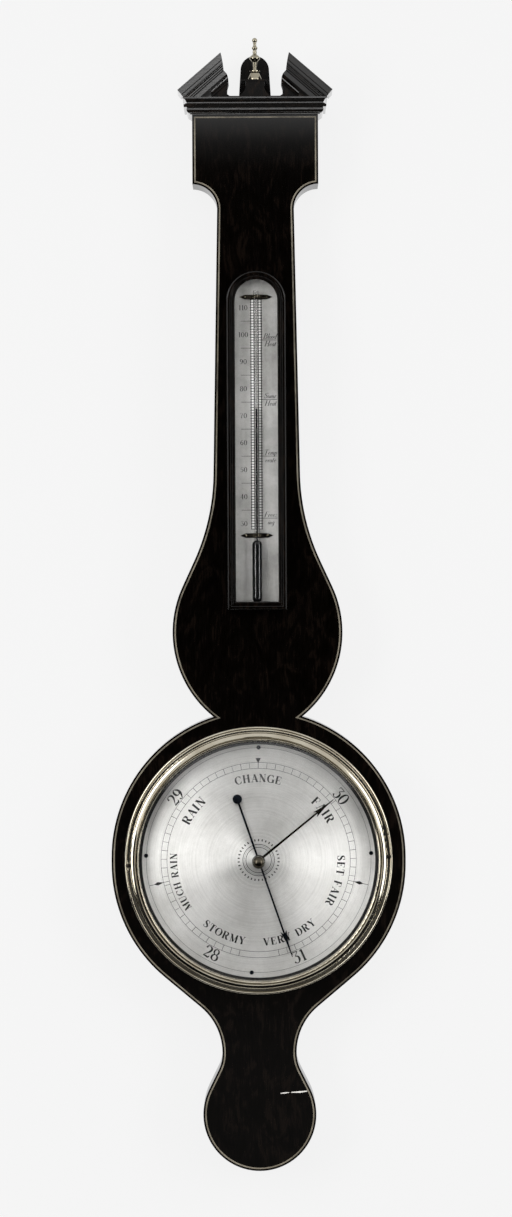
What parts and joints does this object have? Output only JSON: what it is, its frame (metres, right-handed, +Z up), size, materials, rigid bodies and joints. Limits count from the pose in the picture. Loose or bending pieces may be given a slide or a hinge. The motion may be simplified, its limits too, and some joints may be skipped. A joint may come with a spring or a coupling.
{
  "type": "wheel barometer",
  "caption": "Banjo-shaped wheel barometer in a dark wooden case: silvered weather dial with set hand, boxed thermometer, broken pediment, and a siphon tube behind a back door.",
  "frame": {"origin": "centre of the hanging hole, on the wall plane", "axes": "+Z up along the case, +Y into the wall, +X to the right seen from the front"},
  "size_m": [0.25, 0.0662, 0.9643],
  "materials": {
    "mahogany": "polished, near black",
    "mahogany_veneer": "polished veneer",
    "boxwood": "polished stringing",
    "softwood": "plain",
    "brass": "lacquered",
    "silvered_brass": "silvered and brushed",
    "blued_steel": "blued",
    "steel": "dulled",
    "glass": "clear",
    "mercury": "liquid mirror",
    "silk": "twisted thread"
  },
  "bodies": {
    "case": {"case_carcass": "mahogany", "front_veneer": "mahogany_veneer", "edge_stringing": "boxwood", "cornice": "mahogany", "tympanum": "mahogany_veneer", "pediment_rake_left": "mahogany", "pediment_rake_right": "mahogany", "finial_pedestal": "mahogany", "finial": "brass", "hanger_board": "mahogany", "hanging_plate": "brass", "hanging_plate_screws": "steel", "hinge_leaves_case": "brass", "hinge_pins": "steel", "hinge_screws_case": "steel", "button_screw": "steel", "bezel": "brass", "bezel_screws": "brass", "dial_glass": "glass", "glass_retaining_ring": "brass", "dial_plate": "silvered_brass", "dial_screws": "steel", "front_bush": "brass", "wheel_bridge": "brass", "bridge_screws": "steel", "siphon_tube": "glass", "siphon_mercury": "mercury", "tube_saddles": "softwood", "tube_straps": "brass", "strap_screws": "steel", "thermometer_box": "mahogany", "thermometer_frame": "mahogany", "thermometer_glass": "glass", "thermometer_plate": "silvered_brass", "thermometer_tube": "glass", "thermometer_mercury": "mercury", "thermometer_clips": "brass", "clip_pins": "brass"},
    "indicator": {"wheel_arbor": "steel", "pulley": "brass", "pointer": "blued_steel", "pointer_collet": "blued_steel"},
    "set_hand": {"set_hand": "brass", "set_hand_arbor": "brass", "set_hand_knob": "brass", "set_hand_washer": "brass"},
    "float": {"float": "glass", "float_thread": "silk"},
    "counterweight": {"counterweight": "brass", "counterweight_thread": "silk"},
    "back_door": {"back_door": "mahogany", "hinge_leaves_door": "brass", "hinge_screws_door": "steel"},
    "door_button": {"door_button": "brass"}
  },
  "joints": [
    {"name": "pointer_turn", "type": "hinge", "parent": "case", "child": "indicator", "pos_m": [0, -0.0365, -0.663], "axis": [0, 1, 0], "range_deg": [-325, 0]},
    {"name": "float_rise", "type": "slide", "parent": "case", "child": "float", "axis": [0, 0, 1], "range_m": [-0.0005, 0.0398], "deforming": ["float_thread"]},
    {"name": "counterweight_fall", "type": "slide", "parent": "case", "child": "counterweight", "axis": [0, 0, 1], "range_m": [-0.0398, 0.0005], "deforming": ["counterweight_thread"]},
    {"name": "set_hand_turn", "type": "hinge", "parent": "case", "child": "set_hand", "pos_m": [0, -0.0413, -0.663], "axis": [0, 1, 0], "continuous": true},
    {"name": "back_door_swing", "type": "hinge", "parent": "case", "child": "back_door", "pos_m": [0.02615, -0.002, -0.488], "axis": [0, 0, -1], "range_deg": [0, 110]},
    {"name": "door_button_turn", "type": "hinge", "parent": "case", "child": "door_button", "pos_m": [-0.035, -0.001, -0.469], "axis": [0, 1, 0], "range_deg": [0, 90]}
  ],
  "couplings": [
    {"joint": "float_rise", "follows": "pointer_turn", "m_per_rad": -0.00693},
    {"joint": "counterweight_fall", "follows": "pointer_turn", "m_per_rad": 0.00693}
  ]
}
